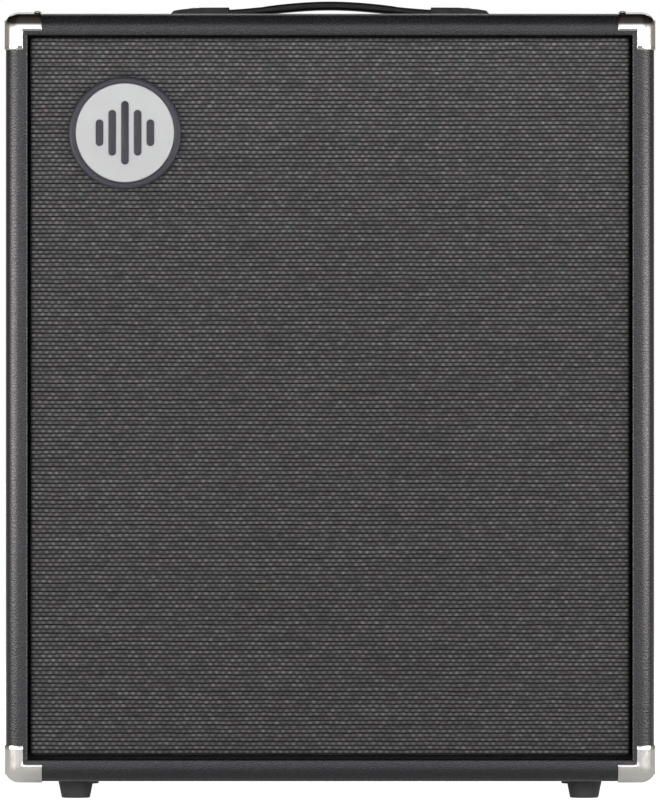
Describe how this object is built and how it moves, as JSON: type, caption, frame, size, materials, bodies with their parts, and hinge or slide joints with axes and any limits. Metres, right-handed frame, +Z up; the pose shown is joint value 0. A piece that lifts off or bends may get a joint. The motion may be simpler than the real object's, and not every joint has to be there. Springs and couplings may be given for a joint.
{
  "type": "powered bass speaker cabinet",
  "caption": "Vinyl-covered powered bass cabinet with a cloth grille over a woofer and treble horn, metal corners, rubber feet, a strap handle on top and an amplifier panel behind.",
  "frame": {"origin": "on the floor under the middle of the cabinet", "axes": "+X to the right seen from the front, the grille faces -Y, +Z up"},
  "size_m": [0.502, 0.402, 0.6234],
  "materials": {
    "vinyl": "embossed leather-grain vinyl, satin",
    "plywood": "raw plywood",
    "black_paint": "flat black paint over plywood",
    "grille_cloth": "stretched woven grille cloth, charcoal with flecks",
    "nickel": "polished nickel plating",
    "foot_rubber": "moulded rubber, matte",
    "handle_rubber": "smooth moulded rubber",
    "black_plastic": "fine-textured moulded plastic",
    "badge_ring": "satin dark grey",
    "badge_disc": "satin pale silver",
    "pressed_steel": "black epoxy on pressed steel",
    "surround_rubber": "treated cloth and rubber",
    "cone_paper": "pressed paper pulp, matte black",
    "ferrite": "dull dark grey ceramic",
    "zinc_steel": "zinc-plated steel",
    "connector_metal": "satin nickel die-cast",
    "spider_cloth": "resin-stiffened cloth",
    "copper": "lacquered copper wire",
    "powder_coat": "black textured powder coat",
    "black_aluminium": "black anodised",
    "circuit_board": "green circuit board",
    "cable_rubber": "matte cable sheath"
  },
  "bodies": {
    "cabinet": {"vinyl_covering": "vinyl", "back_panel": "vinyl", "top_panel": "plywood", "bottom_panel": "plywood", "left_panel": "plywood", "right_panel": "plywood", "rear_cleat_frame": "plywood", "baffle_board": "black_paint", "corner_front_top_left": "nickel", "corner_front_top_right": "nickel", "corner_front_bottom_left": "nickel", "corner_front_bottom_right": "nickel", "corner_rear_top_left": "nickel", "corner_rear_top_right": "nickel", "corner_rear_bottom_left": "nickel", "corner_rear_bottom_right": "nickel", "foot_front_left": "foot_rubber", "foot_front_right": "foot_rubber", "foot_rear_left": "foot_rubber", "foot_rear_right": "foot_rubber", "handle_cap_left": "black_plastic", "handle_cap_right": "black_plastic", "horn_flare": "black_plastic", "port_tube_left": "black_plastic", "port_tube_right": "black_plastic", "power_switch_frame": "black_plastic", "mains_inlet": "black_plastic", "woofer_basket": "pressed_steel", "woofer_magnet": "ferrite", "compression_driver": "ferrite", "mains_transformer": "ferrite", "woofer_top_plate": "zinc_steel", "woofer_yoke": "zinc_steel", "amp_enclosure": "zinc_steel", "level_potentiometer": "zinc_steel", "input_socket": "connector_metal", "link_socket": "connector_metal", "amp_plate": "powder_coat", "heatsink": "black_aluminium", "amp_circuit_board": "circuit_board", "crossover_board": "circuit_board", "amp_cable": "cable_rubber", "woofer_cable": "cable_rubber", "treble_cable": "cable_rubber"},
    "grille": {"grille_frame": "black_paint", "grille_cloth": "grille_cloth", "badge_bezel": "badge_ring", "badge_disc": "badge_disc"},
    "handle": {"handle_grip": "handle_rubber", "handle_strap": "handle_rubber"},
    "cone_assembly": {"woofer_cone": "cone_paper", "woofer_dust_cap": "cone_paper", "woofer_voice_coil": "copper", "woofer_surround": "surround_rubber", "woofer_spider": "spider_cloth"},
    "level_dial": {"level_knob": "black_plastic"},
    "rocker": {"power_rocker": "black_plastic"},
    "lift_button": {"ground_lift_button": "black_plastic"},
    "latch": {"input_latch": "black_plastic"},
    "fuse_holder": {"fuse_drawer": "black_plastic"}
  },
  "joints": [
    {"name": "grille_slide", "type": "slide", "parent": "cabinet", "child": "grille", "axis": [0, -1, 0], "range_m": [0, 0.12]},
    {"name": "handle_lift", "type": "slide", "parent": "cabinet", "child": "handle", "axis": [0, 0, 1], "range_m": [0, 0.018], "stiffness_N_per_m": 300, "deforming": ["handle_strap"]},
    {"name": "cone_travel", "type": "slide", "parent": "cabinet", "child": "cone_assembly", "axis": [0, 1, 0], "range_m": [-0.007, 0.007], "stiffness_N_per_m": 5000, "deforming": ["woofer_surround", "woofer_spider"]},
    {"name": "level_turn", "type": "hinge", "parent": "cabinet", "child": "level_dial", "pos_m": [-0.058, 0.1843, 0.46], "axis": [0, 1, 0], "range_deg": [-150, 150]},
    {"name": "power_tilt", "type": "hinge", "parent": "cabinet", "child": "rocker", "pos_m": [0.08, 0.1843, 0.43], "axis": [1, 0, 0], "range_deg": [-12, 0]},
    {"name": "lift_press", "type": "slide", "parent": "cabinet", "child": "lift_button", "axis": [0, -1, 0], "range_m": [0, 0.0025]},
    {"name": "latch_press", "type": "slide", "parent": "cabinet", "child": "latch", "axis": [0, -1, 0], "range_m": [0, 0.0015], "stiffness_N_per_m": 800},
    {"name": "fuse_slide", "type": "slide", "parent": "cabinet", "child": "fuse_holder", "axis": [0, 1, 0], "range_m": [0, 0.018]}
  ]
}
